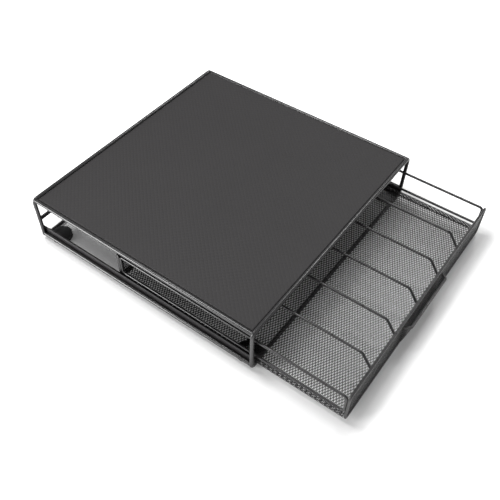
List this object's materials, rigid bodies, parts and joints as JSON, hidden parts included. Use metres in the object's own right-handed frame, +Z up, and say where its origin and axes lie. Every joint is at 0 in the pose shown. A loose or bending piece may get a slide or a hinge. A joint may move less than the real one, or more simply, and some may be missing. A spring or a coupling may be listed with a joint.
{
  "type": "coffee pod drawer",
  "caption": "Low wire-framed cabinet with a flat sheet top and rubber feet, holding a mesh-bottomed basket with wire row dividers and a finger scoop that slides out at the front.",
  "frame": {"origin": "middle of the bottom of the whole part's box, with the basket pulled out as at rest", "axes": "+X to the drawer's right as seen from its front, -Y towards the front, where the basket slides out, +Z up from the counter"},
  "size_m": [0.343, 0.4446, 0.067],
  "materials": {
    "powder_coated_wire": "black satin powder coat on round steel wire",
    "powder_coated_sheet": "black fine-textured powder coat on steel sheet",
    "powder_coated_mesh": "black satin powder coat on expanded steel mesh",
    "foot_rubber": "matt black rubber",
    "stud_nylon": "natural nylon, moulded"
  },
  "bodies": {
    "cabinet": {"front_frame_loop": "powder_coated_wire", "rear_frame_loop": "powder_coated_wire", "rear_crossbar": "powder_coated_wire", "top_side_wire_left": "powder_coated_wire", "top_side_wire_right": "powder_coated_wire", "low_side_wire_left": "powder_coated_wire", "low_side_wire_right": "powder_coated_wire", "top_panel": "powder_coated_sheet", "track_left": "powder_coated_sheet", "track_right": "powder_coated_sheet", "stop_stud_left": "stud_nylon", "stop_stud_right": "stud_nylon", "foot_front_left": "foot_rubber", "foot_front_right": "foot_rubber", "foot_rear_left": "foot_rubber", "foot_rear_right": "foot_rubber"},
    "basket": {"basket_floor_mesh": "powder_coated_mesh", "basket_rear_mesh": "powder_coated_mesh", "front_panel_mesh": "powder_coated_mesh", "finger_scoop": "powder_coated_mesh", "basket_rear_frame": "powder_coated_mesh", "floor_hem_left": "powder_coated_mesh", "floor_hem_right": "powder_coated_mesh", "front_cross_wire": "powder_coated_wire", "rear_cross_wire": "powder_coated_wire", "front_panel_wire": "powder_coated_wire", "finger_scoop_lip": "powder_coated_wire", "side_rail_left": "powder_coated_wire", "side_rail_right": "powder_coated_wire", "row_divider_1": "powder_coated_wire", "row_divider_2": "powder_coated_wire", "row_divider_3": "powder_coated_wire", "row_divider_4": "powder_coated_wire", "row_divider_5": "powder_coated_wire"}
  },
  "joints": [
    {"name": "basket_slide", "type": "slide", "parent": "cabinet", "child": "basket", "axis": [0, -1, 0], "range_m": [-0.108, 0.174]}
  ]
}
